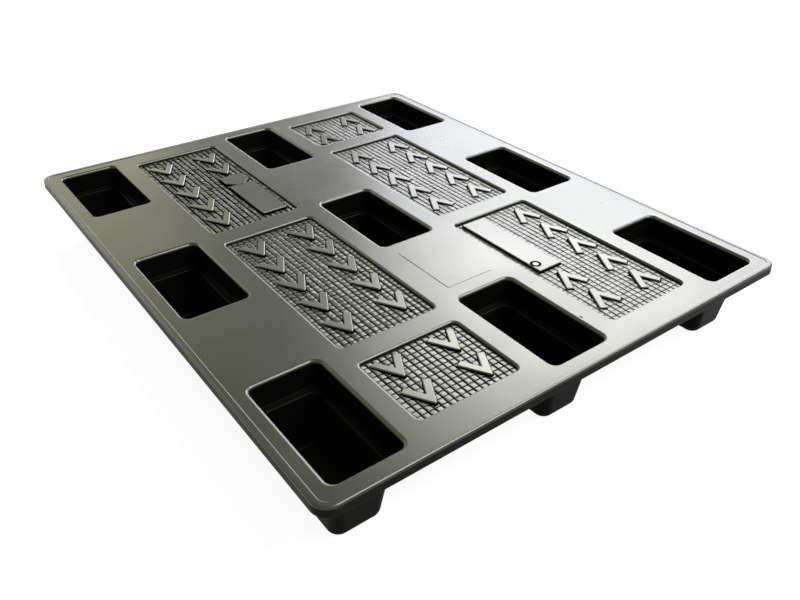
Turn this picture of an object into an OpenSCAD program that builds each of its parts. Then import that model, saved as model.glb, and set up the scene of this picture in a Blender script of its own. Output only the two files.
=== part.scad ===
// Nestable plastic pallet, moulded in one piece.
// Origin at the middle of the footprint, on the floor. X runs along the longer side, Z up.

/* [Overall] */
// Length along X
pallet_l = 1219; // [1100:1:1300]
// Width along Y
pallet_w = 1016; // [960:1:1100]
// Height from the floor to the deck
pallet_h = 144; // [125:1:170]
// Thickness of the moulded sheet
wall = 4; // [3:0.5:5]
// Radius of the deck's corners, seen from above
corner_r = 28; // [20:1:40]

/* [Rim] */
// Width of the raised border along the deck's edge
border_w = 10.5; // [6:0.5:14]
// How far the border stands above the deck
border_h = 1; // [0.8:0.1:2]
// Radius of the rounded outer edge
edge_r = 3; // [2:0.5:4]
// Height of the turned-down skirt, from its lower edge to the deck
skirt_h = 17; // [14:1:26]
// How far the skirt leans outwards over its height
skirt_lean = 1; // [0.5:0.5:2]

/* [Pockets and feet] */
// Length of a pocket at the deck, along X
pocket_l = 234; // [225:1:240]
// Width of a pocket at the deck, along Y
pocket_w = 123; // [115:1:135]
// Distance between the pockets' middles along X
pocket_pitch_x = 457.5; // [445:0.5:465]
// Distance between the pockets' middles along Y
pocket_pitch_y = 410; // [400:1:420]
// Radius of a pocket's upright corners
pocket_r = 13; // [10:1:16]
// Radius of the rolled edge between the deck and a pocket
lip_r = 5; // [4.5:0.5:7]
// Depth of the stacking ledge below the deck
ledge_depth = 47; // [40:1:60]
// Width of the stacking ledge
ledge_w = 12; // [8:1:14]
// Draft of a pocket's wall above its ledge, over the ledge's depth
upper_draft = 1.5; // [1:0.5:2.5]
// Length of a foot's inside floor, before its edge is rounded
floor_l = 184; // [176:1:190]
// Width of a foot's inside floor, before its edge is rounded
floor_w = 83; // [78:1:90]
// Radius of a foot's corners at its floor
foot_r = 17; // [14:1:20]
// Radius of the rounded edge at a foot's inside floor
floor_edge_r = 9; // [5:1:12]
// How far the outer rows' feet stand outwards along Y at the floor, from under their pockets
foot_shift = 4; // [0:0.5:5]

/* [Panels] */
// Width of a recessed panel along Y
panel_w = 200; // [190:1:206]
// Distance from the pallet's middle line to a panel's middle
panel_y = 206; // [202:1:210]
// Half of the length that a row of three panels takes up
row_half_l = 548; // [535:1:552]
// Length of the small panel that starts each row
small_panel_l = 161; // [150:1:170]
// Width of the deck left between two panels of a row
panel_gap = 46; // [40:1:50]
// Radius of a panel's corners
panel_r = 12; // [8:1:16]
// Depth of a panel, down to the tops of its waffle cells
panel_depth = 5.5; // [4.5:0.5:7]
// Width of the groove between two waffle cells
groove_w = 3; // [2:0.5:4]
// Depth of the grooves
groove_d = 2; // [1:0.5:2]
// Pitch of the waffle cells
cell = 24.2; // [22:0.1:30]

/* [Chevrons and pads] */
// Length of a chevron, from its point to its ends
chevron_l = 58; // [50:1:62]
// Width of a chevron across its ends
chevron_w = 60; // [52:1:64]
// Width of a chevron's arms
arm_w = 15; // [12:0.5:16]
// Angle of a chevron's arms from its middle line
chevron_angle = 28.5; // [27:0.5:31]
// Distance between two chevrons of a row
chevron_pitch = 76.7; // [74:0.1:80]
// Distance of a row of chevrons from the panel's middle line
chevron_y = 55; // [50:1:60]
// How far the chevrons' tops lie below the deck
chevron_drop = 0.5; // [0.5:0.5:1.5]
// How far a chevron's sides lean in, from its foot to its top
chevron_draft = 1.5; // [0.5:0.5:2]
// Width of a flat pad
pad_w = 58; // [50:1:62]
// Length of the pad that ends in an arrow
short_pad_l = 160; // [150:1:165]
// Length of the pad without one
long_pad_l = 223; // [215:1:235]
// Length of the raised field on the deck
field_l = 153; // [140:1:160]
// Width of the raised field on the deck
field_w = 104; // [90:1:110]
// Height of the raised field
field_h = 0.8; // [0.5:0.1:1]

/* [Hidden] */
plastic = [0.16, 0.16, 0.15];
// Straight pieces in a rounded corner of the deck, a pocket, a foot and a panel
deck_steps = 8;
pocket_steps = 4;
foot_steps = 3;
panel_steps = 3;
// A cutting shape reaches this far past the surface that it cuts
over = 1;
// Last stretch of a pocket's rolled edge, carried on through the plane of the deck
roll_out = 1.5;
roll_rise = 0.3;
// Rounding at the skirt's lower edge, run of the border's slope down to the deck, and slope under the rim
skirt_round = 0.8;
border_run = 1.5;
under_slope = 2;
// Height of the stacking ledge, its slight fall and its rounded edge
ledge_z = pallet_h - ledge_depth;
ledge_fall = 0.5;
ledge_edge = 1.5;
ledge_l = pocket_l - 2 * (upper_draft + ledge_w + ledge_edge);
ledge_wide = pocket_w - 2 * (upper_draft + ledge_w + ledge_edge);
// Steps in the rounded edge of a foot's floor, outside and inside
floor_parts_out = 3;
floor_parts_in = 2;
// How far a panel's walls lean in, and the radius of its upper edge
panel_draft = 0.8;
panel_lip_r = 2;
// Chevrons in a row of a small and of a large panel
small_count = 2;
large_count = 5;
// How far a row of chevrons stands back from the middle of its panel, and how far a row beside a pad moves on
chevron_back = 2;
pad_lead = 7.5;
// Place that the arrow takes, and its size
arrow_place = 2;
arrow_l = 60;
arrow_nose_l = 24;
arrow_nose_w = 6;
// Distance of each pad from its panel's end
short_pad_margin = 24;
long_pad_margin = 12;
// Radius of a pad's corners and of the raised field's corners
pad_r = 3;
field_r = 4;
// Plain ring on the long pad
ring_d = 18;
ring_w = 2;
ring_depth = 0.8;
ring_inset = 24;
ring_side = 16;
large_panel_l = (2 * row_half_l - small_panel_l - 2 * panel_gap) / 2;
groove_floor = panel_depth + groove_d;

// Points of a rectangle with rounded corners, anticlockwise from +X
function rounded(l, w, r, steps) = [
    for (corner = [0 : 3], step = [0 : steps])
        let (
            turn = 90 * corner + 90 * step / steps,
            side_x = corner == 0 || corner == 3 ? 1 : -1,
            side_y = corner < 2 ? 1 : -1
        )
        [side_x * (l / 2 - r) + r * cos(turn), side_y * (w / 2 - r) + r * sin(turn)]
];

// Solid through outlines of equal point count, each given as [points, height], from the lowest up
module loft(outlines) {
    count = len(outlines[0][0]);
    last = len(outlines) - 1;
    polyhedron(
        points = [for (o = outlines, p = o[0]) [p.x, p.y, o[1]]],
        faces = [
            [for (i = [0 : count - 1]) i],
            [for (i = [count - 1 : -1 : 0]) last * count + i],
            for (k = [0 : last - 1], i = [0 : count - 1])
                let (next = (i + 1) % count)
                [k * count + i, (k + 1) * count + i, (k + 1) * count + next, k * count + next]
        ]
    );
}

// Loft of rounded rectangles, each given as [length, width, corner radius, height]
module loft_rect(rings, steps) {
    loft([for (ring = rings) [rounded(ring[0], ring[1], ring[2], steps), ring[3]]]);
}

// The same, leaning along Y by a shift at the height low, which fades to none at the height high
module leaning_loft(rings, steps, shift, low, high) {
    loft([
        for (ring = rings)
            let (fade = max(0, min(1, (high - ring[3]) / (high - low))))
            [[for (p = rounded(ring[0], ring[1], ring[2], steps)) p + [0, shift * fade]], ring[3]]
    ]);
}

// Ring of the deck's outline, moved in by an inset
function rim_ring(inset, z) = [pallet_l - 2 * inset, pallet_w - 2 * inset, corner_r - inset, z];

// Deck plate and skirt, still filled
module rim_outside() {
    border_z = pallet_h + border_h;
    skirt_z = pallet_h - skirt_h;
    loft_rect([
        rim_ring(skirt_round, skirt_z),
        rim_ring(0, skirt_z + skirt_round),
        for (turn = [0 : 30 : 90])
            rim_ring(skirt_lean + edge_r * (1 - cos(turn)), border_z - edge_r * (1 - sin(turn))),
        rim_ring(border_w, border_z),
        rim_ring(border_w + border_run, pallet_h)
    ], deck_steps);
}

// Space under the deck, inside the skirt
module rim_inside() {
    border_under = pallet_h + border_h - wall;
    loft_rect([
        rim_ring(wall, pallet_h - skirt_h - over),
        rim_ring(wall + skirt_lean, border_under - under_slope),
        rim_ring(wall + skirt_lean + under_slope, border_under),
        rim_ring(border_w, border_under),
        rim_ring(border_w + border_run, pallet_h - wall)
    ], deck_steps);
}

// Inside of a foot's lower wall at a height, before any rounding: [length, width, radius]
function foot_inside(z) =
    let (part = (z - wall) / (ledge_z - wall))
    [
        floor_l + part * (ledge_l - floor_l),
        floor_w + part * (ledge_wide - floor_w),
        foot_r + part * (pocket_r - foot_r)
    ];

// Ring around a foot's lower wall, moved out by grow and up to the height z
function foot_ring(at, grow, z) =
    let (size = foot_inside(at))
    [size[0] + 2 * grow, size[1] + 2 * grow, size[2] + grow, z];

// Rings of the rounded edge at a foot's floor, for the inside or the outside of the wall
function floor_rings(radius, grow, z, parts) = [
    for (turn = [0 : 90 / parts : 90])
        foot_ring(wall, grow - radius * (1 - sin(turn)), z + radius * (1 - cos(turn)))
];

// Ring around a pocket's mouth
function mouth_ring(grow, z) = [pocket_l + 2 * grow, pocket_w + 2 * grow, pocket_r + grow, z];

// Outer form of one foot, up into the deck plate
module foot_outside(shift) {
    leaning_loft([
        each floor_rings(floor_edge_r + wall, wall, 0, floor_parts_out),
        foot_ring(ledge_z - wall, wall, ledge_z - wall),
        mouth_ring(wall - upper_draft, ledge_z - wall + ledge_fall),
        mouth_ring(wall, pallet_h - wall / 2)
    ], foot_steps, shift, wall, ledge_z - wall);
}

// Hollow of one foot, with its stacking ledge and the rolled edge at the deck
module foot_hollow(shift) {
    lip_z = pallet_h - lip_r;
    leaning_loft([
        each floor_rings(floor_edge_r, 0, wall, floor_parts_in),
        foot_ring(ledge_z, 0, ledge_z - ledge_edge),
        foot_ring(ledge_z, ledge_edge, ledge_z),
        mouth_ring(-upper_draft, ledge_z + ledge_fall),
        for (turn = [0 : 30 : 60])
            mouth_ring(lip_r * (1 - cos(turn)), lip_z + lip_r * sin(turn)),
        mouth_ring(lip_r + roll_out, pallet_h + roll_rise)
    ], pocket_steps, shift, wall, ledge_z - wall);
}

// The nine feet, or their hollows
module at_feet(hollow) {
    for (i = [-1 : 1], j = [-1 : 1])
        translate([i * pocket_pitch_x, j * pocket_pitch_y, 0])
            if (hollow) foot_hollow(j * foot_shift);
            else foot_outside(j * foot_shift);
}

// Places a child over both rows of panels: the second row is the first one turned by half a turn
module at_rows() {
    for (turn = [0, 180])
        rotate(turn)
            translate([0, -panel_y, 0])
                children();
}

// Panels of a row, as [middle, length], from the +X end
row_panels = [
    [row_half_l - small_panel_l / 2, small_panel_l],
    [row_half_l - small_panel_l - panel_gap - large_panel_l / 2, large_panel_l],
    [-row_half_l + large_panel_l / 2, large_panel_l]
];

// Ring around a panel of length l, moved out by grow
function panel_ring(l, grow, z) = [l + 2 * grow, panel_w + 2 * grow, panel_r + grow, z];

// Hollow of a panel, down to the grooves of its waffle, with a rounded upper edge
module panel_hollow(l) {
    loft_rect([
        panel_ring(l, -panel_draft, pallet_h - groove_floor),
        for (turn = [0, 45])
            panel_ring(l, panel_lip_r * (1 - cos(turn)), pallet_h - panel_lip_r * (1 - sin(turn))),
        panel_ring(l, panel_lip_r + roll_out, pallet_h + roll_rise)
    ], panel_steps);
}

// Underside of a panel, a tray that hangs from the deck plate
module panel_outside(l) {
    bottom = pallet_h - groove_floor - wall;
    loft_rect([
        panel_ring(l, wall / 2, bottom),
        panel_ring(l, wall, bottom + wall / 2),
        panel_ring(l, wall, pallet_h - wall / 2)
    ], panel_steps);
}

// Waffle cells that fill a panel, a groove apart from each other and from its walls
module waffle(l) {
    inside_l = l - 2 * panel_draft - groove_w;
    inside_w = panel_w - 2 * panel_draft - groove_w;
    columns = round(inside_l / cell);
    rows = round(inside_w / cell);
    pitch_x = inside_l / columns;
    pitch_y = inside_w / rows;
    translate([0, 0, pallet_h - groove_floor - over / 2])
        linear_extrude(groove_d + over / 2)
            for (i = [0 : columns - 1], j = [0 : rows - 1])
                translate([(i - (columns - 1) / 2) * pitch_x, (j - (rows - 1) / 2) * pitch_y])
                    square([pitch_x - groove_w, pitch_y - groove_w], center = true);
}

// Outline of a chevron that points to +X with its nose at the origin, moved in by inset
function chevron_outline(inset) =
    let (
        lean = chevron_angle,
        across = arm_w / 2 - inset,
        end_x = -chevron_l + arm_w / 2 * sin(lean) + inset * cos(lean),
        end_y = chevron_w / 2 - arm_w / 2 * cos(lean) - inset * sin(lean),
        middle = end_x + end_y / tan(lean),
        nose_y = (middle + across / sin(lean) + inset) * tan(lean),
        side = across * [sin(lean), cos(lean)]
    )
    [
        [-inset, nose_y],
        [end_x + side.x, end_y + side.y],
        [end_x - side.x, end_y - side.y],
        [middle - across / sin(lean), 0],
        [end_x - side.x, -end_y + side.y],
        [end_x + side.x, -end_y - side.y],
        [-inset, -nose_y]
    ];

// Outline of the solid arrow that stands in one chevron's place, moved in by inset
function arrow_outline(inset) = [
    [-inset, arrow_nose_w / 2],
    [-arrow_nose_l, pad_w / 2 - inset],
    [-arrow_l + inset, pad_w / 2 - inset],
    [-arrow_l + inset, -pad_w / 2 + inset],
    [-arrow_nose_l, -pad_w / 2 + inset],
    [-inset, -arrow_nose_w / 2]
];

// Raised form with leaning sides on a panel's floor
module raised(foot, top) {
    loft([[foot, pallet_h - groove_floor - over / 2], [top, pallet_h - chevron_drop]]);
}

module chevron() {
    raised(chevron_outline(0), chevron_outline(chevron_draft));
}

module pad(l) {
    lean = 2 * chevron_draft;
    raised(rounded(l, pad_w, pad_r, 1), rounded(l - lean, pad_w - lean, pad_r - chevron_draft, 1));
}

// Nose of the chevron at a place counted from the +X end of a centred row
function chevron_x(count, place) =
    ((count - 1) * chevron_pitch + chevron_l) / 2 - chevron_back - place * chevron_pitch;

module chevron_row(count, first) {
    for (place = [first : count - 1])
        translate([chevron_x(count, place), 0, 0])
            chevron();
}

// Two full rows of chevrons
module full_panel(count) {
    for (y = [-chevron_y, chevron_y])
        translate([0, y, 0])
            chevron_row(count, 0);
}

// One full row of chevrons, and one in which a pad takes the first places
module pad_panel(l, pad_l, pad_margin, first) {
    translate([pad_lead, -chevron_y, 0])
        chevron_row(large_count, 0);
    translate([pad_lead, chevron_y, 0])
        chevron_row(large_count, first);
    translate([l / 2 - pad_margin - pad_l / 2, chevron_y, 0])
        pad(pad_l);
}

// Solid arrow between the short pad and the chevrons after it
module arrow() {
    translate([chevron_x(large_count, arrow_place) + pad_lead, chevron_y, 0])
        raised(arrow_outline(0), arrow_outline(chevron_draft));
}

// Plain ring that the mould's insert leaves on the long pad
module insert_ring() {
    at_x = row_panels[2][0] + large_panel_l / 2 - long_pad_margin - long_pad_l + ring_inset;
    rotate(180)
        translate([at_x, -panel_y + chevron_y + ring_side, pallet_h - chevron_drop - ring_depth])
            difference() {
                cylinder(h = over + ring_depth, d = ring_d, $fn = 48);
                translate([0, 0, -over])
                    cylinder(h = ring_depth + 3 * over, d = ring_d - 2 * ring_w, $fn = 48);
            }
}

// Everything that stands on the floors of the six panels
module panel_relief() {
    at_rows() {
        for (panel = row_panels)
            translate([panel[0], 0, 0])
                waffle(panel[1]);
        translate([row_panels[0][0], 0, 0])
            full_panel(small_count);
        translate([row_panels[1][0], 0, 0])
            full_panel(large_count);
    }
    translate([row_panels[2][0], -panel_y, 0]) {
        pad_panel(large_panel_l, short_pad_l, short_pad_margin, arrow_place + 1);
        arrow();
    }
    rotate(180)
        translate([row_panels[2][0], -panel_y, 0])
            pad_panel(large_panel_l, long_pad_l, long_pad_margin, arrow_place + 1);
}

// Low raised field on the deck, between the middle pocket and the one at its +X side
module label_field() {
    translate([pocket_pitch_x / 2, 0, 0])
        loft_rect([
            [field_l, field_w, field_r, pallet_h - wall / 2],
            [field_l, field_w, field_r, pallet_h],
            [field_l - 2 * field_h, field_w - 2 * field_h, field_r - field_h, pallet_h + field_h]
        ], 2);
}

// Deck, skirt, feet and panel trays, before the pockets are hollowed
module shell() {
    difference() {
        union() {
            difference() {
                rim_outside();
                rim_inside();
            }
            at_feet(hollow = false);
            at_rows()
                for (panel = row_panels)
                    translate([panel[0], 0, 0])
                        panel_outside(panel[1]);
        }
        at_rows()
            for (panel = row_panels)
                translate([panel[0], 0, 0])
                    panel_hollow(panel[1]);
    }
}

module pallet() {
    color(plastic)
        difference() {
            union() {
                shell();
                panel_relief();
                label_field();
            }
            at_feet(hollow = true);
            insert_ring();
        }
}

pallet();
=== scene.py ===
"""Looks of the nestable plastic pallet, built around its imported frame. Lengths are in metres."""

import math

import bmesh
import bpy
import numpy as np
from mathutils import Matrix, Vector
from mathutils.geometry import tessellate_polygon


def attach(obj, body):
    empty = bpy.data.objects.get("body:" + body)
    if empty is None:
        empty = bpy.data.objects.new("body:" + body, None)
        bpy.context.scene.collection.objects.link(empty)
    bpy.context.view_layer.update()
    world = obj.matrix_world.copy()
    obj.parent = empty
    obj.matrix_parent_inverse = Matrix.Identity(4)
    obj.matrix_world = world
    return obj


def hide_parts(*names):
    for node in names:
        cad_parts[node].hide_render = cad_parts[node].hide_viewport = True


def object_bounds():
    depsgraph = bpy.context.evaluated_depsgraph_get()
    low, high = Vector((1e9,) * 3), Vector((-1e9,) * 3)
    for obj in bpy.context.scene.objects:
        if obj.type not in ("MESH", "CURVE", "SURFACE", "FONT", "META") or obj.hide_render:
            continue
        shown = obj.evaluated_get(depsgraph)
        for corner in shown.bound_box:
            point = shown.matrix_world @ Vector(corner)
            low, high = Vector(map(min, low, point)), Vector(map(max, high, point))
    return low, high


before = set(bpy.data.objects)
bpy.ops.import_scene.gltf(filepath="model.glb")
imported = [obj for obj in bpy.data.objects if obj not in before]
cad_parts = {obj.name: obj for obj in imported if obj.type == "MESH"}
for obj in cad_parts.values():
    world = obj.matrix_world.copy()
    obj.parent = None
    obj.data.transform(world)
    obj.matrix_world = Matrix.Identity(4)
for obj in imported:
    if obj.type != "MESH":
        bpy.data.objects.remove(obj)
CAD_LOW, CAD_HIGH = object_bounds()

# Deck and rim
PALLET_L = CAD_HIGH.x - CAD_LOW.x
PALLET_W = CAD_HIGH.y - CAD_LOW.y
BORDER_W = 0.0105
BORDER_H = 0.001
BORDER_RUN = 0.0015
BORDER_PARTS = (0, 0.15, 0.35, 0.65, 0.85, 1)
DECK_Z = CAD_HIGH.z - BORDER_H
FLAT_MARGIN = 0.001
WALL = 0.004
CORNER_R = 0.028
EDGE_R = 0.004
SKIRT_H = 0.017
SKIRT_LEAN = 0.001
SKIRT_ROUND = 0.0008
UNDER_SLOPE = 0.002

# Pockets and feet
POCKET_L = 0.234
POCKET_W = 0.123
PITCH_X = 0.4575
PITCH_Y = 0.410
POCKET_R = 0.013
LIP_R = 0.006
LEDGE_Z = DECK_Z - 0.047
LEDGE_W = 0.012
LEDGE_FALL = 0.0005
LEDGE_EDGE = 0.0015
UPPER_DRAFT = 0.0015
FLOOR_L = 0.184
FLOOR_W = 0.083
FOOT_R = 0.017
FLOOR_EDGE_R = 0.009
FOOT_SHIFT = 0.004
LEDGE_L = POCKET_L - 2 * (UPPER_DRAFT + LEDGE_W + LEDGE_EDGE)
LEDGE_WIDE = POCKET_W - 2 * (UPPER_DRAFT + LEDGE_W + LEDGE_EDGE)

# Panels. The first PANEL_WALL_RINGS rings of a tray's inside bound its wall, which gets the less glossy
# copy of the plastic as painted shade.
PANEL_W = 0.200
PANEL_Y = 0.206
ROW_HALF_L = 0.548
SMALL_L = 0.161
PANEL_GAP = 0.046
LARGE_L = (2 * ROW_HALF_L - SMALL_L - 2 * PANEL_GAP) / 2
PANEL_R = 0.012
PANEL_DEPTH = 0.0055
PANEL_DRAFT = 0.0008
PANEL_LIP_R = 0.0045
PANEL_LIP_OUT = 0.0025
PANEL_WALL_RINGS = 3
GROOVE_D = 0.002
GROOVE_Z = DECK_Z - PANEL_DEPTH - GROOVE_D

# Waffle of the panels. SAMPLES are the places of the grid lines in one cell.
CELL = 0.0121
SAMPLES = (0.0003, 0.0008, 0.0018, 0.0044, 0.0077, 0.0103, 0.0113, 0.0118)
PLATE_SINK = 0.0002
PLATE_GROW = -0.0004
GROOVE_HALF_FRONT = 0.0006
GROOVE_HALF_BACK = 0.0004
GROOVE_SIDE = 0.0003
# Faces whose mean cut into a groove passes this share get the plastic without reflection: painted shade in
# the grooves.
GROOVE_DARK = 0.4
CELL_MIN_H = 0.0004
CELL_TILT_X = 0.02
CELL_TILT_Y = -0.05
TILT_SPREAD = 0.020
LEVEL_SPREAD = 0.00008
LUMP_H = 0.00002
LUMP_SIZE = 0.008
LUMP_WAVES = 10
LUMP_RANGE = (0.6, 1.4)
PILLOW = 0.00014
PILLOW_EDGE = 0.0001

# What the waffle gains where it is fully worn
WORN_GROOVE = 0.0006
WORN_FADE = 0.6
WORN_TILT = 0.05
WORN_LEVEL = 0.00015
WORN_LUMP = 0.00024

# How worn each panel is, from 0 to 1, and the pad that starts its inner row
PANEL_WEAR = {
    "front_0": 0.05, "front_1": 0.35, "front_2": 0.9,
    "back_0": 0.1, "back_1": 0.25, "back_2": 0.05,
}
PANEL_PADS = {"front_2": "short_pad", "back_2": "long_pad"}

# Chevrons, pads and the raised field. FORM_PROFILE tells how far in and how far down the rings of a form's
# top lie.
CHEVRON_L = 0.058
CHEVRON_W = 0.060
ARM_W = 0.015
CHEVRON_LEAN = math.radians(28.5)
CHEVRON_PITCH = 0.0767
CHEVRON_Y = 0.055
CHEVRON_BACK = 0.002
SMALL_BACK = 0.002
ARM_FALL = 0.0022
FORM_PROFILE = ((0.0003, 0.0014), (0.0014, 0.0004), (0.0019, 0.0001), (0.0023, 0))
FORM_SPREAD = 0.0018
FORM_SOFT_R = 0.0012
CHEVRON_TOP = DECK_Z - 0.0005
SMALL_COUNT = 2
LARGE_COUNT = 5
ARROW_PLACE = 2
ARROW_L = 0.060
ARROW_NOSE_L = 0.024
ARROW_NOSE_W = 0.006
PAD_LEAD = 0.0075
PAD_W = 0.058
PAD_R = 0.003
PAD_SOFT_R = 0.0006
SHORT_PAD_L = 0.160
LONG_PAD_L = 0.223
SHORT_PAD_MARGIN = 0.024
LONG_PAD_MARGIN = 0.012
RING_R = 0.011
RING_W = 0.0045
RING_DEPTH = 0.0012
RING_INSET = 0.024
RING_SIDE = 0.016
FIELD_L = 0.153
FIELD_W = 0.104
FIELD_H = 0.0008
FIELD_R = 0.004
FIELD_PARTS = (1, 0.75, 0.25, 0)

# Nicks in the deck: place, length, width and turn in degrees
NICKS = ((0.5080, 0.0718, 0.0090, 0.0044, 8),)
NICK_H = 0.00005

# Straight pieces in each rounded corner, seen from above
RIM_STEPS = 16
POCKET_STEPS = 12
PANEL_STEPS = 8
FIELD_STEPS = 4
PAD_STEPS = 3
SOFT_STEPS = 4
SOFT_SHARE = 0.45
RING_STEPS = 32

# Straight pieces in each rounded edge
EDGE_STEPS = 6
LEDGE_STEPS = 4
SMALL_STEPS = 3

# Finishes: the places of their materials in a mesh, and for each material the lowest and highest roughness,
# the depth of the grain, the specular level and the shade of the colour. Besides the smooth and textured
# plastic, they are copies of the one plastic that paint light and shade: a darker, nearly unreflecting one
# in the pockets, on the feet and underneath, a less glossy one on the skirt and walls, and one without
# reflection in the grooves, on the forms' feet and in the ring, all painted shade; the last one also makes
# the nick, a real mark. A glossier one on the front chevrons' tops is a painted sheen.
SATIN, PAINTED_SHADE, SIDE_SHADE, GLOSSY_SHEEN = 0, 1, 2, 3
PLASTICS = {
    "smooth": (0.24, 0.32, 0.000004, 0.5, 0.5),
    "textured": (0.24, 0.32, 0.00002, 0.5, 0.5),
    "deep_shade": (0.35, 0.45, 0.00003, 0.017, 0.3),
    "wall_shade": (0.30, 0.40, 0.00003, 0.04, 0.5),
    "nick_and_shade": (0.6, 0.7, 0.00003, 0.0, 0.5),
    "chevron_sheen": (0.24, 0.32, 0.00002, 0.8, 0.5),
}
IOR = 1.5
DARK_TINT = (0.005, 0.006, 0.0035)
LIGHT_TINT = (0.009, 0.010, 0.006)
SHEEN_TINT = (1.0, 1.0, 0.7, 1)
MOTTLING_SCALE = 9.0
MOTTLING_RANGE = (0.35, 0.65)
SMUDGE_SCALE = 5.0
SMUDGE_RANGE = (0.3, 0.7)
WAVE_SCALE = 14.0
WAVE_DETAIL = 1.0
WAVE_DEPTH = 0.00015
GRAIN_SCALE = 900.0
NOISE_DETAIL = 2.0

# Stage and world. The stage lies a hair under the feet, so that the two don't share a plane.
STAGE_HALF = 9.0
STAGE_Z = -0.0003
STAGE_GREY = 0.15
STAGE_GLOW = 0.92
FILL_LEVEL = 0.25

# Lamps: azimuths, elevations, radiance and colour. The camera looks along azimuth 143, so that smaller
# azimuths lie to its right.
COOL = (0.86, 0.87, 1.0)
WARM = (1.0, 1.0, 0.6)
PALE = (1.0, 1.0, 0.85)
BLUE = (0.74, 0.76, 1.0)
LAMPS = {
    "horizon": ((138, 156), (1, 11), 6.0, COOL),
    "horizon_core": ((108, 138), (2, 13), 10.0, COOL),
    "right_low": ((104, 146), (15, 25), 3.4, COOL),
    "right": ((95, 145.5), (24, 45), 8.5, COOL),
    "right_core": ((112, 137), (32, 47), 8.8, COOL),
    "side": ((20, 86), (36, 72), 18.0, BLUE),
    "left": ((163, 186), (14, 36), 1.2, WARM),
    "far_left": ((186, 220), (14, 46), 2.0, PALE),
}
LAMP_DISTANCE = 8.0

# Camera: place, directions in degrees, lens in millimetres, and a shift of half a pixel
CAMERA_PLACE = (1.1683, -0.8050, 0.8845)
CAMERA_AZIMUTH = 143.178
CAMERA_FALL = 33.917
CAMERA_ROLL = 0.253
CAMERA_LENS = 34.184
CAMERA_SENSOR = 36
CAMERA_SHIFT = 0.5 / 800


# Outlines

def rounded(length, width, radius, steps):
    """Points of a rectangle with rounded corners, anticlockwise from +X."""
    points = []
    for corner in range(4):
        side_x = 1 if corner in (0, 3) else -1
        side_y = 1 if corner < 2 else -1
        for step in range(steps + 1):
            turn = math.radians(90 * (corner + step / steps))
            x = side_x * (length / 2 - radius) + radius * math.cos(turn)
            y = side_y * (width / 2 - radius) + radius * math.sin(turn)
            points.append((x, y))
    return points


def circle(radius, steps):
    """Points of a circle, anticlockwise from +X."""
    angles = [2 * math.pi * i / steps for i in range(steps)]
    return [(radius * math.cos(angle), radius * math.sin(angle)) for angle in angles]


def turns(steps):
    """Angles of a quarter turn, from 0 to 90 degrees."""
    return [math.pi / 2 * i / steps for i in range(steps + 1)]


def ease(t):
    """Smooth rise from 0 to 1, level at both ends."""
    return t * t * (3 - 2 * t)


def at(x, y, turned=False):
    """Function that carries an outline to a place. A turned outline is first given half a turn."""
    sign = -1 if turned else 1
    return lambda px, py: (x + sign * px, y + sign * py)


def soften(points, radius):
    """The outline with each corner turned into a curve that starts and ends radius away from it."""
    result = []
    count = len(points)
    for i, point in enumerate(points):
        corner = Vector(point)
        before = Vector(points[i - 1]) - corner
        after = Vector(points[(i + 1) % count]) - corner
        start = corner + before.normalized() * min(radius, before.length * SOFT_SHARE)
        end = corner + after.normalized() * min(radius, after.length * SOFT_SHARE)
        for step in range(SOFT_STEPS + 1):
            t = step / SOFT_STEPS
            spot = start * (1 - t) ** 2 + corner * 2 * t * (1 - t) + end * t ** 2
            result.append((spot.x, spot.y))
    return result


def chevron_outline(inset):
    """Chevron that points to +X with its nose at the origin, moved in by inset."""
    sin = math.sin(CHEVRON_LEAN)
    cos = math.cos(CHEVRON_LEAN)
    tan = math.tan(CHEVRON_LEAN)
    across = ARM_W / 2 - inset
    end_x = -CHEVRON_L + ARM_W / 2 * sin + inset * cos
    end_y = CHEVRON_W / 2 - ARM_W / 2 * cos - inset * sin
    middle = end_x + end_y / tan
    nose_y = (middle + across / sin + inset) * tan
    side_x = across * sin
    side_y = across * cos
    return [
        (-inset, nose_y),
        (end_x + side_x, end_y + side_y),
        (end_x - side_x, end_y - side_y),
        (middle - across / sin, 0),
        (end_x - side_x, -end_y + side_y),
        (end_x + side_x, -end_y - side_y),
        (-inset, -nose_y),
    ]


def arrow_outline(inset):
    """Solid arrow that points to +X with its nose at the origin, moved in by inset."""
    return [
        (-inset, ARROW_NOSE_W / 2),
        (-ARROW_NOSE_L, PAD_W / 2 - inset),
        (-ARROW_L + inset, PAD_W / 2 - inset),
        (-ARROW_L + inset, -PAD_W / 2 + inset),
        (-ARROW_NOSE_L, -PAD_W / 2 + inset),
        (-inset, -ARROW_NOSE_W / 2),
    ]


def pad_outline(length):
    """Function that gives a pad's outline, moved in by its argument."""
    def outline(inset):
        return rounded(length - 2 * inset, PAD_W - 2 * inset, max(PAD_R - inset, PAD_SOFT_R), PAD_STEPS)
    return outline


# Meshes

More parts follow.
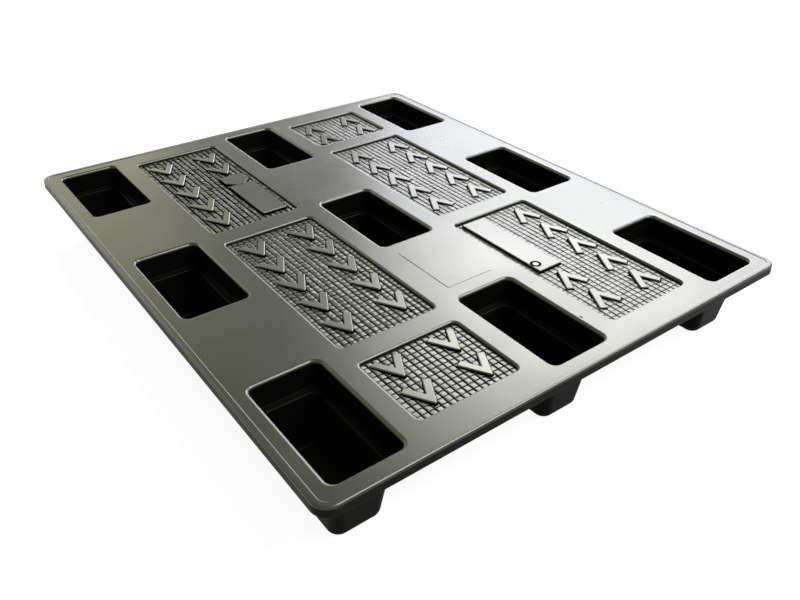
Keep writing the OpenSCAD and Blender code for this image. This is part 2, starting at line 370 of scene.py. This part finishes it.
class Shell:
    """Rings of points and the faces between them, for one mesh. finish is the next faces' material."""

    def __init__(self):
        self.points = []
        self.faces = []
        self.finishes = []
        self.finish = SATIN

    def face(self, corners):
        """Adds a face between points, given by their numbers."""
        self.faces.append(tuple(corners))
        self.finishes.append(self.finish)

    def ring(self, outline, z, place=None, slope=0.0):
        """Adds an outline at a height, moved by place. slope is its rise along x. Returns its points."""
        start = len(self.points)
        for x, y in outline:
            rise = slope * x
            if place:
                x, y = place(x, y)
            self.points.append((x, y, z + rise))
        return list(range(start, len(self.points)))

    def wall(self, rings):
        """Faces from each ring to the next one."""
        for low, high in zip(rings, rings[1:]):
            count = len(low)
            for i in range(count):
                j = (i + 1) % count
                self.face((low[i], low[j], high[j], high[i]))

    def cap(self, ring):
        """One face inside a ring."""
        self.face(ring)

    def plane(self, outer, holes):
        """Flat sheet inside the outer ring, open at each hole."""
        loops = [outer] + holes
        index = [i for loop in loops for i in loop]
        corners = [[Vector(self.points[i]) for i in loop] for loop in loops]
        for triangle in tessellate_polygon(corners):
            self.face(index[k] for k in triangle)


def show(name, mesh):
    """Smooth-shaded object with a mesh, added to the scene."""
    mesh.shade_smooth()
    piece = bpy.data.objects.new(name, mesh)
    bpy.context.scene.collection.objects.link(piece)
    return piece


def make_object(name, points, faces, finishes=()):
    """Object with outward normals. finishes gives each face's material."""
    mesh = bpy.data.meshes.new(name)
    mesh.from_pydata(points, [], faces)
    solid = bmesh.new()
    solid.from_mesh(mesh)
    bmesh.ops.recalc_face_normals(solid, faces=solid.faces)
    solid.to_mesh(mesh)
    solid.free()
    for polygon, finish in zip(mesh.polygons, finishes):
        polygon.material_index = finish
    return show(name, mesh)


def make_piece(name, shell):
    """Object with the faces of a shell. Its large faces set the normals at their edges."""
    piece = make_object(name, shell.points, shell.faces, shell.finishes)
    flats = piece.modifiers.new("flats", "WEIGHTED_NORMAL")
    flats.mode = "FACE_AREA"
    flats.weight = 100
    return piece


# The shell of the pallet: deck, rim, feet and panel trays

def rim_ring(shell, inset, z):
    """Outline of the whole pallet, moved in by inset."""
    outline = rounded(PALLET_L - 2 * inset, PALLET_W - 2 * inset, CORNER_R - inset, RIM_STEPS)
    return shell.ring(outline, z)


def rim_outside(shell):
    """Rings of the skirt, and of the rounded edge and raised border. The last one bounds the deck."""
    border_z = DECK_Z + BORDER_H
    skirt_z = DECK_Z - SKIRT_H
    skirt = []
    for turn in turns(SMALL_STEPS):
        inset = SKIRT_ROUND * (1 - math.sin(turn))
        skirt.append(rim_ring(shell, inset, skirt_z + SKIRT_ROUND * (1 - math.cos(turn))))
    border = []
    for turn in turns(EDGE_STEPS):
        inset = SKIRT_LEAN + EDGE_R * (1 - math.cos(turn))
        border.append(rim_ring(shell, inset, border_z - EDGE_R * (1 - math.sin(turn))))
    for part in BORDER_PARTS:
        inset = BORDER_W + BORDER_RUN * part
        border.append(rim_ring(shell, inset, border_z - BORDER_H * ease(part)))
    border.append(rim_ring(shell, BORDER_W + BORDER_RUN + FLAT_MARGIN, DECK_Z))
    return skirt + border[:1], border


def rim_inside(shell):
    """Rings of the skirt's inner side and the border's underside. The last one bounds the sheet below."""
    border_under = DECK_Z + BORDER_H - WALL
    inner = WALL + SKIRT_LEAN
    heights = [
        (WALL, DECK_Z - SKIRT_H + SKIRT_ROUND),
        (inner, border_under - UNDER_SLOPE),
        (inner + UNDER_SLOPE, border_under),
        (BORDER_W, border_under),
        (BORDER_W + BORDER_RUN, DECK_Z - WALL),
    ]
    first = rim_ring(shell, WALL - SKIRT_ROUND, DECK_Z - SKIRT_H)
    return [first] + [rim_ring(shell, inset, z) for inset, z in heights]


def foot_size(z):
    """Length, width and corner radius of a foot's inside at a height, before any rounding."""
    part = (z - WALL) / (LEDGE_Z - WALL)
    return (
        FLOOR_L + part * (LEDGE_L - FLOOR_L),
        FLOOR_W + part * (LEDGE_WIDE - FLOOR_W),
        FOOT_R + part * (POCKET_R - FOOT_R),
    )


def foot_place(foot, z):
    """Place of a foot's outline at a height. The outer rows' feet lean outwards below their ledge."""
    x, y, shift = foot
    top = LEDGE_Z - WALL
    fade = max(0, min(1, (top - z) / (top - WALL)))
    return at(x, y + shift * fade)


def foot_ring(shell, foot, level, grow, z):
    """Outline at height z, as large as a foot's tapered inside at another level, moved out by grow."""
    length, width, radius = foot_size(level)
    outline = rounded(length + 2 * grow, width + 2 * grow, radius + grow, POCKET_STEPS)
    return shell.ring(outline, z, foot_place(foot, z))


def mouth_ring(shell, foot, grow, z):
    """Outline at height z, as large as a pocket's mouth, moved out by grow."""
    outline = rounded(POCKET_L + 2 * grow, POCKET_W + 2 * grow, POCKET_R + grow, POCKET_STEPS)
    return shell.ring(outline, z, foot_place(foot, z))


def pocket_below_ledge(shell, foot):
    """Floor and tapered walls of a pocket, up to its ledge. Returns the ledge's inner edge."""
    # Pocket floor and lower walls get the darker, nearly unreflecting copy of the plastic: painted shade.
    shell.finish = PAINTED_SHADE
    rings = []
    for turn in turns(EDGE_STEPS):
        grow = -FLOOR_EDGE_R * (1 - math.sin(turn))
        rings.append(foot_ring(shell, foot, WALL, grow, WALL + FLOOR_EDGE_R * (1 - math.cos(turn))))
    shell.cap(rings[0])
    edge = []
    for turn in turns(LEDGE_STEPS):
        grow = LEDGE_EDGE * (1 - math.cos(turn))
        edge.append(foot_ring(shell, foot, LEDGE_Z, grow, LEDGE_Z - LEDGE_EDGE * (1 - math.sin(turn))))
    shell.wall(rings + edge[:1])
    # The ledge's rounded edge gets the less glossy copy of the plastic: painted shade.
    shell.finish = SIDE_SHADE
    shell.wall(edge)
    return edge[-1]


def pocket(shell, foot):
    """Inside of one foot, from its floor up. The last ring is the hole in the deck."""
    rings = [pocket_below_ledge(shell, foot)]
    for turn in turns(SMALL_STEPS):
        grow = -UPPER_DRAFT - LEDGE_EDGE * (1 - math.sin(turn))
        z = LEDGE_Z + LEDGE_FALL + LEDGE_EDGE * (1 - math.cos(turn))
        rings.append(mouth_ring(shell, foot, grow, z))
    lip = []
    for turn in turns(EDGE_STEPS):
        z = DECK_Z - LIP_R * (1 - math.sin(turn))
        lip.append(mouth_ring(shell, foot, LIP_R * (1 - math.cos(turn)), z))
    lip.append(mouth_ring(shell, foot, LIP_R + FLAT_MARGIN, DECK_Z))
    # Pocket walls up to the lip in the same darker copy: painted shade.
    shell.finish = PAINTED_SHADE
    shell.wall(rings + lip[:1])
    shell.finish = SATIN
    shell.wall(lip)
    return lip[-1]


def foot_outside(shell, foot):
    """Outside of one foot, from its underside up. The last ring is the hole in the deck's underside."""
    outer_r = FLOOR_EDGE_R + WALL
    rings = []
    for turn in turns(EDGE_STEPS):
        grow = WALL - outer_r * (1 - math.sin(turn))
        rings.append(foot_ring(shell, foot, WALL, grow, outer_r * (1 - math.cos(turn))))
    shell.cap(rings[0])
    shoulder = LEDGE_Z - WALL
    rings.append(foot_ring(shell, foot, shoulder, WALL, shoulder - LEDGE_EDGE))
    rings.append(foot_ring(shell, foot, shoulder, WALL + LEDGE_EDGE / 2, shoulder))
    rings.append(mouth_ring(shell, foot, WALL - UPPER_DRAFT - LEDGE_EDGE, shoulder + LEDGE_FALL))
    rings.append(mouth_ring(shell, foot, WALL - UPPER_DRAFT, shoulder + LEDGE_FALL + LEDGE_EDGE))
    rings.append(mouth_ring(shell, foot, WALL, DECK_Z - WALL))
    shell.wall(rings)
    return rings[-1]


def panel_ring(shell, place, length, grow, z):
    """Outline of a panel, moved out by grow."""
    outline = rounded(length + 2 * grow, PANEL_W + 2 * grow, PANEL_R + grow, PANEL_STEPS)
    return shell.ring(outline, z, place)


def tray_inside(shell, place, length):
    """Floor and walls of a panel. The last ring is the hole in the deck."""
    shell.finish = SATIN
    wall = PANEL_LIP_OUT - PANEL_LIP_R
    rings = [panel_ring(shell, place, length, wall - PANEL_DRAFT, GROOVE_Z)]
    shell.cap(rings[0])
    for turn in turns(EDGE_STEPS):
        grow = wall + PANEL_LIP_R * (1 - math.cos(turn))
        z = DECK_Z - PANEL_LIP_R * (1 - math.sin(turn))
        rings.append(panel_ring(shell, place, length, grow, z))
    rings.append(panel_ring(shell, place, length, PANEL_LIP_OUT + FLAT_MARGIN, DECK_Z))
    # Lower wall of the tray in the less glossy copy: painted shade.
    shell.finish = SIDE_SHADE
    shell.wall(rings[:PANEL_WALL_RINGS])
    shell.finish = SATIN
    shell.wall(rings[PANEL_WALL_RINGS - 1:])
    return rings[-1]


def tray_outside(shell, place, length):
    """Underside of a panel. The last ring is the hole in the deck's underside."""
    bottom = GROOVE_Z - WALL
    rings = []
    for turn in turns(SMALL_STEPS):
        grow = WALL - WALL / 2 * (1 - math.sin(turn))
        z = bottom + WALL / 2 * (1 - math.cos(turn))
        rings.append(panel_ring(shell, place, length, grow, z))
    shell.cap(rings[0])
    rings.append(panel_ring(shell, place, length, WALL, DECK_Z - WALL))
    shell.wall(rings)
    return rings[-1]


def raised_field(shell):
    """Low raised field beside the middle pocket. The last ring is its foot in the deck."""
    place = at(PITCH_X / 2, 0)
    rings = []
    for part in FIELD_PARTS:
        inset = FIELD_H * part
        outline = rounded(FIELD_L - 2 * inset, FIELD_W - 2 * inset, FIELD_R, FIELD_STEPS)
        rings.append(shell.ring(outline, DECK_Z + FIELD_H * ease(part), place))
    length = FIELD_L + 2 * FLAT_MARGIN
    width = FIELD_W + 2 * FLAT_MARGIN
    margin = rounded(length, width, FIELD_R + FLAT_MARGIN, FIELD_STEPS)
    rings.append(shell.ring(margin, DECK_Z, place))
    shell.cap(rings[0])
    shell.wall(rings)
    return rings[-1]


def panel_places():
    """Name, middle, length and turn of each of the six panels."""
    row = [
        (ROW_HALF_L - SMALL_L / 2, SMALL_L),
        (ROW_HALF_L - SMALL_L - PANEL_GAP - LARGE_L / 2, LARGE_L),
        (-ROW_HALF_L + LARGE_L / 2, LARGE_L),
    ]
    places = []
    for side, turned in (("front", False), ("back", True)):
        sign = -1 if turned else 1
        for number, (x, length) in enumerate(row):
            places.append((f"{side}_{number}", sign * x, -sign * PANEL_Y, length, turned))
    return places


def build_shell():
    """The pallet as one closed mesh, without what stands in its panels."""
    shell = Shell()
    skirt, border = rim_outside(shell)
    inner = rim_inside(shell)
    shell.wall(border)
    # Outside of the skirt in the less glossy copy: painted shade.
    shell.finish = SIDE_SHADE
    shell.wall(skirt)
    # Inner side of the skirt and the underside of the border in the darker copy: painted shade.
    shell.finish = PAINTED_SHADE
    shell.wall(inner)
    shell.wall([skirt[0], inner[0]])
    feet = [(i * PITCH_X, j * PITCH_Y, j * FOOT_SHIFT) for i in (-1, 0, 1) for j in (-1, 0, 1)]
    trays = [(at(x, y, turned), length) for _, x, y, length, turned in panel_places()]
    above = [pocket(shell, foot) for foot in feet]
    above += [tray_inside(shell, place, length) for place, length in trays]
    above.append(raised_field(shell))
    # Outsides of the feet and trays and the sheet underneath in the darker copy: painted shade.
    shell.finish = PAINTED_SHADE
    below = [foot_outside(shell, foot) for foot in feet]
    below += [tray_outside(shell, place, length) for place, length in trays]
    shell.plane(inner[-1], below)
    shell.finish = SATIN
    shell.plane(border[-1], above)
    return make_piece("pallet_shell", shell)


# Wear

def nick(name, x, y, length, width, turn):
    """Thin mark on the deck, in the plastic without reflection, so that it shows darker."""
    cos = math.cos(math.radians(turn))
    sin = math.sin(math.radians(turn))

    def place(px, py):
        return x + px * cos - py * sin, y + px * sin + py * cos

    shell = Shell()
    outline = [
        (-length / 2, 0),
        (-length / 6, width / 2),
        (length / 2, width / 5),
        (length / 4, -width / 2),
    ]
    outline = soften(outline, width)
    low = shell.ring(outline, DECK_Z - NICK_H, place)
    high = shell.ring(outline, DECK_Z + NICK_H, place)
    shell.cap(low)
    shell.wall([low, high])
    shell.cap(high)
    return make_piece(name, shell)


# Waffle of the panels

def grid_lines(inside, edge):
    """Places of the waffle's grid lines across a panel, and the pitch and number of its cells."""
    count = round(inside / CELL)
    pitch = inside / count
    lines = [-edge]
    for i in range(count):
        lines += [-inside / 2 + (i + sample / CELL) * pitch for sample in SAMPLES]
    return np.array(lines + [edge]), pitch, count


class Grid:
    """Points of one panel's waffle, and where each lies in its cell."""

    def __init__(self, length):
        self.half_l = length / 2 + PLATE_GROW
        self.half_w = PANEL_W / 2 + PLATE_GROW
        inside_l = length - 2 * PANEL_DRAFT
        inside_w = PANEL_W - 2 * PANEL_DRAFT
        xs, self.pitch_x, columns = grid_lines(inside_l, self.half_l)
        ys, self.pitch_y, rows = grid_lines(inside_w, self.half_w)
        self.x, self.y = np.meshgrid(xs, ys, indexing="ij")
        self.edge = (np.abs(self.x) > inside_l / 2) | (np.abs(self.y) > inside_w / 2)
        cell_x = (self.x + inside_l / 2) / self.pitch_x
        cell_y = (self.y + inside_w / 2) / self.pitch_y
        i = np.clip(np.floor(cell_x), 0, columns - 1).astype(int)
        j = np.clip(np.floor(cell_y), 0, rows - 1).astype(int)
        self.cell = (i, j)
        self.cells = (columns, rows)
        self.across_x = (cell_x - i - 0.5) * self.pitch_x
        self.across_y = (cell_y - j - 0.5) * self.pitch_y


def smooth_noise(x, y, size, rng):
    """Soft random field between about -1 and 1 with lumps of the given size."""
    total = np.zeros_like(x)
    for _ in range(LUMP_WAVES):
        angle = rng.uniform(0, 2 * math.pi)
        wave = 2 * math.pi / size * rng.uniform(*LUMP_RANGE)
        phase = rng.uniform(0, 2 * math.pi)
        total += np.sin(wave * (x * math.cos(angle) + y * math.sin(angle)) + phase)
    return total / LUMP_WAVES ** 0.5


def groove(offset, half_width):
    """1 in the middle of a groove and 0 beside it, with steep smooth sides."""
    return ease(np.clip((half_width + GROOVE_SIDE - np.abs(offset)) / (2 * GROOVE_SIDE), 0, 1))


def groove_cut(grid, rng, turned, rough):
    """How far each point is cut down into a groove, from 0 to 1."""
    fade = rng.uniform(0, 1, grid.cells)[grid.cell] * rough
    half_width = GROOVE_HALF_BACK if turned else GROOVE_HALF_FRONT
    from_x = grid.pitch_x / 2 - np.abs(grid.across_x)
    from_y = grid.pitch_y / 2 - np.abs(grid.across_y)
    along_x = groove(from_y, half_width + WORN_GROOVE * rough)
    along_y = groove(from_x, half_width) * (1 - WORN_FADE * fade)
    return np.maximum(along_x, along_y)


def cell_height(grid, rng, turned, rough):
    """Height of the cells above the grooves' bottoms. Each cell is tilted, pillowed and lumpy."""
    sign = -1 if turned else 1
    tilt = TILT_SPREAD + WORN_TILT * rough
    tilt_x = rng.normal(sign * CELL_TILT_X, tilt, grid.cells)[grid.cell] * grid.across_x
    tilt_y = rng.normal(sign * CELL_TILT_Y, tilt, grid.cells)[grid.cell] * grid.across_y
    level = rng.normal(0, LEVEL_SPREAD + WORN_LEVEL * rough, grid.cells)[grid.cell]
    edge_x = grid.across_x / grid.pitch_x * 2
    edge_y = grid.across_y / grid.pitch_y * 2
    pillow = PILLOW * (edge_x ** 2 + edge_y ** 2) + PILLOW_EDGE * (edge_x ** 4 + edge_y ** 4)
    lumps = (LUMP_H + WORN_LUMP * rough) * smooth_noise(grid.x, grid.y, LUMP_SIZE, rng)
    return np.maximum(GROOVE_D + level + tilt_x + tilt_y - pillow + lumps, CELL_MIN_H)


def round_corners(grid):
    """The grid's x and y, pulled in to the panel's rounded corners, and which points were outside them."""
    radius = PANEL_R + PLATE_GROW
    out_x = np.abs(grid.x) - (grid.half_l - radius)
    out_y = np.abs(grid.y) - (grid.half_w - radius)
    reach = np.hypot(out_x, out_y)
    outside = (out_x > 0) & (out_y > 0) & (reach > radius)
    pull = np.where(outside, radius / np.maximum(reach, radius), 1)
    x = np.where(outside, np.sign(grid.x) * (grid.half_l - radius + out_x * pull), grid.x)
    y = np.where(outside, np.sign(grid.y) * (grid.half_w - radius + out_y * pull), grid.y)
    return x, y, outside


def waffle_faces(cut, outside):
    """Faces of the waffle's top inside the panel's outline, with their finishes. Faces deep in the grooves
    get slot 1, the plastic without reflection: painted shade.
    """
    faces = []
    finishes = []
    long, wide = cut.shape
    for i in range(long - 1):
        for j in range(wide - 1):
            if outside[i:i + 2, j:j + 2].all():
                continue
            corner = i * wide + j
            faces.append((corner, corner + wide, corner + wide + 1, corner + 1))
            finishes.append(PAINTED_SHADE if cut[i:i + 2, j:j + 2].mean() > GROOVE_DARK else SATIN)
    return faces, finishes


def close_plate(mesh):
    """Gives an open sheet sides and a bottom that lies just inside the panel's floor."""
    solid = bmesh.new()
    solid.from_mesh(mesh)
    loose = [vert for vert in solid.verts if not vert.link_faces]
    bmesh.ops.delete(solid, geom=loose, context="VERTS")
    rim = [edge for edge in solid.edges if edge.is_boundary]
    added = bmesh.ops.extrude_edge_only(solid, edges=rim)["geom"]
    for item in added:
        if isinstance(item, bmesh.types.BMVert):
            item.co.z = GROOVE_Z - PLATE_SINK
    lower = [item for item in added if isinstance(item, bmesh.types.BMEdge)]
    bmesh.ops.holes_fill(solid, edges=lower, sides=0)
    bmesh.ops.recalc_face_normals(solid, faces=solid.faces)
    solid.to_mesh(mesh)
    solid.free()


def waffle(name, x, y, length, turned, seed, rough):
    """Plate with the lumpy cells of one panel. rough is 0 for even cells and 1 for rubbed, wavy ones."""
    rng = np.random.default_rng(seed)
    grid = Grid(length)
    cut = groove_cut(grid, rng, turned, rough)
    z = GROOVE_Z + cell_height(grid, rng, turned, rough) * (1 - cut)
    z = np.where(grid.edge, GROOVE_Z, z)
    px, py, outside = round_corners(grid)
    place = at(x, y, turned)
    points = [(*place(*point[:2]), point[2]) for point in zip(px.ravel(), py.ravel(), z.ravel())]
    faces, finishes = waffle_faces(cut, outside)
    mesh = bpy.data.meshes.new(name)
    mesh.from_pydata(points, [], faces)
    mesh.polygons.foreach_set("material_index", finishes)
    close_plate(mesh)
    return show(name, mesh)


# Chevrons, pads and the arrow

def raise_form(shell, outline, place, soft_r, hole=None, slope=0.0):
    """Raised form with leaning sides and a bevelled top edge, on a panel's floor. Its foot and lower sides
    get painted shade, and a sloping one's top gets slot 3, a glossier copy on the front panels: painted
    sheen.
    """
    low = soften(outline(-FORM_SPREAD), soft_r)
    rings = [shell.ring(low, GROOVE_Z - PLATE_SINK / 2, place)]
    # The form's foot and lower sides get slot 1, the plastic without reflection: painted shade.
    shell.finish = PAINTED_SHADE
    shell.cap(rings[0])
    for inset, drop in FORM_PROFILE:
        rings.append(shell.ring(soften(outline(inset), soft_r), CHEVRON_TOP - drop, place, slope))
    shell.wall(rings[:2])
    # A sloping top takes slot 3, which on the front panels holds a glossier copy of the plastic: painted
    # sheen.
    shell.finish = GLOSSY_SHEEN if slope else SATIN
    shell.wall(rings[1:])
    if hole:
        shell.plane(rings[-1], [hole])
    else:
        shell.cap(rings[-1])


def ring_mark(shell, place):
    """Plain ring sunk into a pad's top. Returns its outer edge, which is a hole in that top."""
    low = CHEVRON_TOP - RING_DEPTH
    profile = (
        (RING_R, CHEVRON_TOP),
        (RING_R - RING_DEPTH / 2, low),
        (RING_R - RING_W, low),
        (RING_R - RING_W - RING_DEPTH / 2, CHEVRON_TOP),
    )
    rings = [shell.ring(circle(radius, RING_STEPS), z, place) for radius, z in profile]
    # The sunk ring gets slot 1, the plastic without reflection: painted shade.
    shell.finish = PAINTED_SHADE
    shell.wall(rings)
    shell.finish = SATIN
    shell.cap(rings[-1])
    return rings[0]


def nose_x(count, place):
    """Nose of the chevron at a place counted from the +X end of a centred row."""
    return ((count - 1) * CHEVRON_PITCH + CHEVRON_L) / 2 - CHEVRON_BACK - place * CHEVRON_PITCH


def chevrons(shell, inside, count, lead, pad):
    """Two rows of chevrons. Where there is a pad, the row at its side starts after it."""
    for side in (-1, 1):
        first = ARROW_PLACE + 1 if pad and side == 1 else 0
        for place in range(first, count):
            nose = inside(nose_x(count, place) + lead, side * CHEVRON_Y)
            raise_form(shell, chevron_outline, nose, FORM_SOFT_R, slope=ARM_FALL / CHEVRON_L)


def short_pad(shell, inside, length):
    """Plain pad with a solid arrow after it."""
    middle = inside(length / 2 - SHORT_PAD_MARGIN - SHORT_PAD_L / 2, CHEVRON_Y)
    raise_form(shell, pad_outline(SHORT_PAD_L), middle, PAD_SOFT_R)
    nose = inside(nose_x(LARGE_COUNT, ARROW_PLACE) + PAD_LEAD, CHEVRON_Y)
    raise_form(shell, arrow_outline, nose, FORM_SOFT_R)


def long_pad(shell, inside, length):
    """Pad with the ring mark near its end."""
    start = length / 2 - LONG_PAD_MARGIN - LONG_PAD_L
    mark = ring_mark(shell, inside(start + RING_INSET, CHEVRON_Y + RING_SIDE))
    middle = inside(start + LONG_PAD_L / 2, CHEVRON_Y)
    raise_form(shell, pad_outline(LONG_PAD_L), middle, PAD_SOFT_R, mark)


def relief(name, x, y, length, turned, pad):
    """Raised forms of one panel. pad is None, short_pad or long_pad."""
    shell = Shell()
    sign = -1 if turned else 1

    def inside(px, py):
        return at(x + sign * px, y + sign * py, turned)

    if length < LARGE_L:
        chevrons(shell, inside, SMALL_COUNT, -SMALL_BACK, pad)
    else:
        chevrons(shell, inside, LARGE_COUNT, PAD_LEAD if pad else 0, pad)
    if pad == "short_pad":
        short_pad(shell, inside, length)
    if pad == "long_pad":
        long_pad(shell, inside, length)
    return make_piece(name, shell)


# Materials

def link(tree, start, end):
    """Links a node's output to another node's input."""
    tree.links.new(start, end)


def noise(tree, coords, scale, detail):
    """Value of a noise texture."""
    node = tree.nodes.new("ShaderNodeTexNoise")
    node.inputs["Scale"].default_value = scale
    node.inputs["Detail"].default_value = detail
    link(tree, coords, node.inputs["Vector"])
    return node.outputs["Fac"]


def spread(tree, value, low, high, to_low, to_high):
    """Maps a value from one range to another, and keeps it inside."""
    node = tree.nodes.new("ShaderNodeMapRange")
    node.inputs["From Min"].default_value = low
    node.inputs["From Max"].default_value = high
    node.inputs["To Min"].default_value = to_low
    node.inputs["To Max"].default_value = to_high
    link(tree, value, node.inputs["Value"])
    return node.outputs["Result"]


def bump(tree, height, distance, normal=None):
    """Normal of a surface that rises by a distance where the height is 1."""
    node = tree.nodes.new("ShaderNodeBump")
    node.inputs["Strength"].default_value = 1.0
    node.inputs["Distance"].default_value = distance
    link(tree, height, node.inputs["Height"])
    if normal is not None:
        link(tree, normal, node.inputs["Normal"])
    return node.outputs["Normal"]


def black_plastic(name, rough_low, rough_high, grain, gloss, shade):
    """Black polyethylene: slight mottling, uneven gloss, a fine grain and a gentle waviness of the flats.

    The mix node takes its share at input 0 and its colours at 6 and 7, and gives the colour at output 2.
    """
    material = bpy.data.materials.new(name)
    material.use_nodes = True
    tree = material.node_tree
    shader = tree.nodes["Principled BSDF"]
    coords = tree.nodes.new("ShaderNodeTexCoord").outputs["Object"]
    shader.inputs["IOR"].default_value = IOR
    shader.inputs["Specular IOR Level"].default_value = gloss
    shader.inputs["Specular Tint"].default_value = SHEEN_TINT
    colour = tree.nodes.new("ShaderNodeMix")
    colour.data_type = "RGBA"
    colour.inputs[6].default_value = [part * shade for part in DARK_TINT] + [1]
    colour.inputs[7].default_value = [part * shade for part in LIGHT_TINT] + [1]
    mottling = noise(tree, coords, MOTTLING_SCALE, NOISE_DETAIL)
    link(tree, spread(tree, mottling, *MOTTLING_RANGE, 0, 1), colour.inputs[0])
    link(tree, colour.outputs[2], shader.inputs["Base Color"])
    smudges = noise(tree, coords, SMUDGE_SCALE, NOISE_DETAIL)
    roughness = spread(tree, smudges, *SMUDGE_RANGE, rough_low, rough_high)
    link(tree, roughness, shader.inputs["Roughness"])
    waves = bump(tree, noise(tree, coords, WAVE_SCALE, WAVE_DETAIL), WAVE_DEPTH)
    fine = bump(tree, noise(tree, coords, GRAIN_SCALE, NOISE_DETAIL), grain, waves)
    link(tree, fine, shader.inputs["Normal"])
    return material


def stage_material():
    """White floor that glows evenly and keeps a faint part of the object's shadow."""
    material = bpy.data.materials.new("white_floor")
    material.use_nodes = True
    shader = material.node_tree.nodes["Principled BSDF"]
    shader.inputs["Base Color"].default_value = (STAGE_GREY, STAGE_GREY, STAGE_GREY, 1)
    shader.inputs["Roughness"].default_value = 1.0
    shader.inputs["Specular IOR Level"].default_value = 0.0
    shader.inputs["Emission Color"].default_value = (1, 1, 1, 1)
    shader.inputs["Emission Strength"].default_value = STAGE_GLOW
    return material


# Floor, world, lamps and camera

def build_floor():
    """Plain square floor under the pallet."""
    corners = ((-1, -1), (1, -1), (1, 1), (-1, 1))
    points = [(x * STAGE_HALF, y * STAGE_HALF, STAGE_Z) for x, y in corners]
    floor = make_object("floor", points, [(0, 1, 2, 3)])
    floor.data.materials.append(stage_material())


def build_world():
    """White for the camera and in reflections, and a plain grey fill on the object."""
    world = bpy.data.worlds.new("studio")
    bpy.context.scene.world = world
    world.use_nodes = True
    tree = world.node_tree
    path = tree.nodes.new("ShaderNodeLightPath")
    seen = path.outputs["Is Camera Ray"]
    for name in ("Is Glossy Ray", "Is Transmission Ray"):
        either = tree.nodes.new("ShaderNodeMath")
        either.operation = "MAXIMUM"
        link(tree, seen, either.inputs[0])
        link(tree, path.outputs[name], either.inputs[1])
        seen = either.outputs[0]
    background = tree.nodes["Background"]
    background.inputs["Color"].default_value = (1, 1, 1, 1)
    link(tree, spread(tree, seen, 0, 1, FILL_LEVEL, 1.0), background.inputs["Strength"])


def softbox(name, azimuths, elevations, radiance, colour):
    """Lamp that fills a range of directions, given in degrees and seen from the pallet."""
    azimuth = math.radians(sum(azimuths) / 2)
    elevation = math.radians(sum(elevations) / 2)
    half_turn = math.radians(azimuths[1] - azimuths[0]) / 2
    half_rise = math.radians(elevations[1] - elevations[0]) / 2
    lamp = bpy.data.lights.new(name, "AREA")
    lamp.shape = "RECTANGLE"
    lamp.size = 2 * LAMP_DISTANCE * math.cos(elevation) * math.tan(half_turn)
    lamp.size_y = 2 * LAMP_DISTANCE * math.tan(half_rise)
    lamp.energy = radiance * math.pi * lamp.size * lamp.size_y
    lamp.color = colour
    away = Vector((
        math.cos(elevation) * math.cos(azimuth),
        math.cos(elevation) * math.sin(azimuth),
        math.sin(elevation),
    ))
    holder = bpy.data.objects.new(name, lamp)
    bpy.context.scene.collection.objects.link(holder)
    holder.location = away * LAMP_DISTANCE
    holder.rotation_euler = away.to_track_quat("Z", "Y").to_euler()
    holder.visible_camera = False


def build_lamps():
    """Bright softboxes behind and at the right, mirrored in the deck, and weak ones at the left."""
    for name, lamp in LAMPS.items():
        softbox(name, *lamp)


def build_camera():
    """Camera where the photograph was taken from, found from the pallet's own edges."""
    data = bpy.data.cameras.new("camera")
    data.lens = CAMERA_LENS
    data.sensor_width = CAMERA_SENSOR
    data.shift_x = -CAMERA_SHIFT
    data.shift_y = CAMERA_SHIFT
    camera = bpy.data.objects.new("camera", data)
    bpy.context.scene.collection.objects.link(camera)
    turn = math.radians(CAMERA_AZIMUTH)
    fall = math.radians(CAMERA_FALL)
    ahead = Vector((
        math.cos(fall) * math.cos(turn),
        math.cos(fall) * math.sin(turn),
        -math.sin(fall),
    ))
    aim = ahead.to_track_quat("-Z", "Y").to_matrix().to_4x4()
    aim @= Matrix.Rotation(math.radians(CAMERA_ROLL), 4, "Z")
    aim.translation = Vector(CAMERA_PLACE)
    camera.matrix_world = aim
    bpy.context.scene.camera = camera


# The pallet

def carry(piece, first, *others):
    """Gives a piece its materials and lets it ride on the part's only body."""
    piece.data.materials.append(first)
    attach(piece, "root")
    for material in others:
        piece.data.materials.append(material)


def build_pallet():
    """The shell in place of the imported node, and the nicks, waffles and raised forms on it."""
    plastics = {name: black_plastic(name + "_plastic", *values) for name, values in PLASTICS.items()}
    smooth, deep_shade, wall_shade, nick_and_shade = [plastics[name] for name in ("smooth", "deep_shade", "wall_shade", "nick_and_shade")]
    shell = build_shell()
    carry(shell, smooth, deep_shade, wall_shade)
    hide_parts("pallet")
    for number, mark in enumerate(NICKS):
        carry(nick(f"nick_{number}", *mark), nick_and_shade)
    for seed, (name, x, y, length, turned) in enumerate(panel_places()):
        cells = waffle("waffle_" + name, x, y, length, turned, seed, PANEL_WEAR[name])
        carry(cells, plastics["textured"], nick_and_shade)
        forms = relief("chevrons_" + name, x, y, length, turned, PANEL_PADS.get(name))
        # The front panels' chevron tops get the glossier copy: painted sheen.
        chevron_sheen = smooth if turned else plastics["chevron_sheen"]
        carry(forms, smooth, nick_and_shade, wall_shade, chevron_sheen)


bpy.context.scene.view_settings.view_transform = "Standard"
build_camera()
build_world()
build_lamps()
build_floor()
build_pallet()
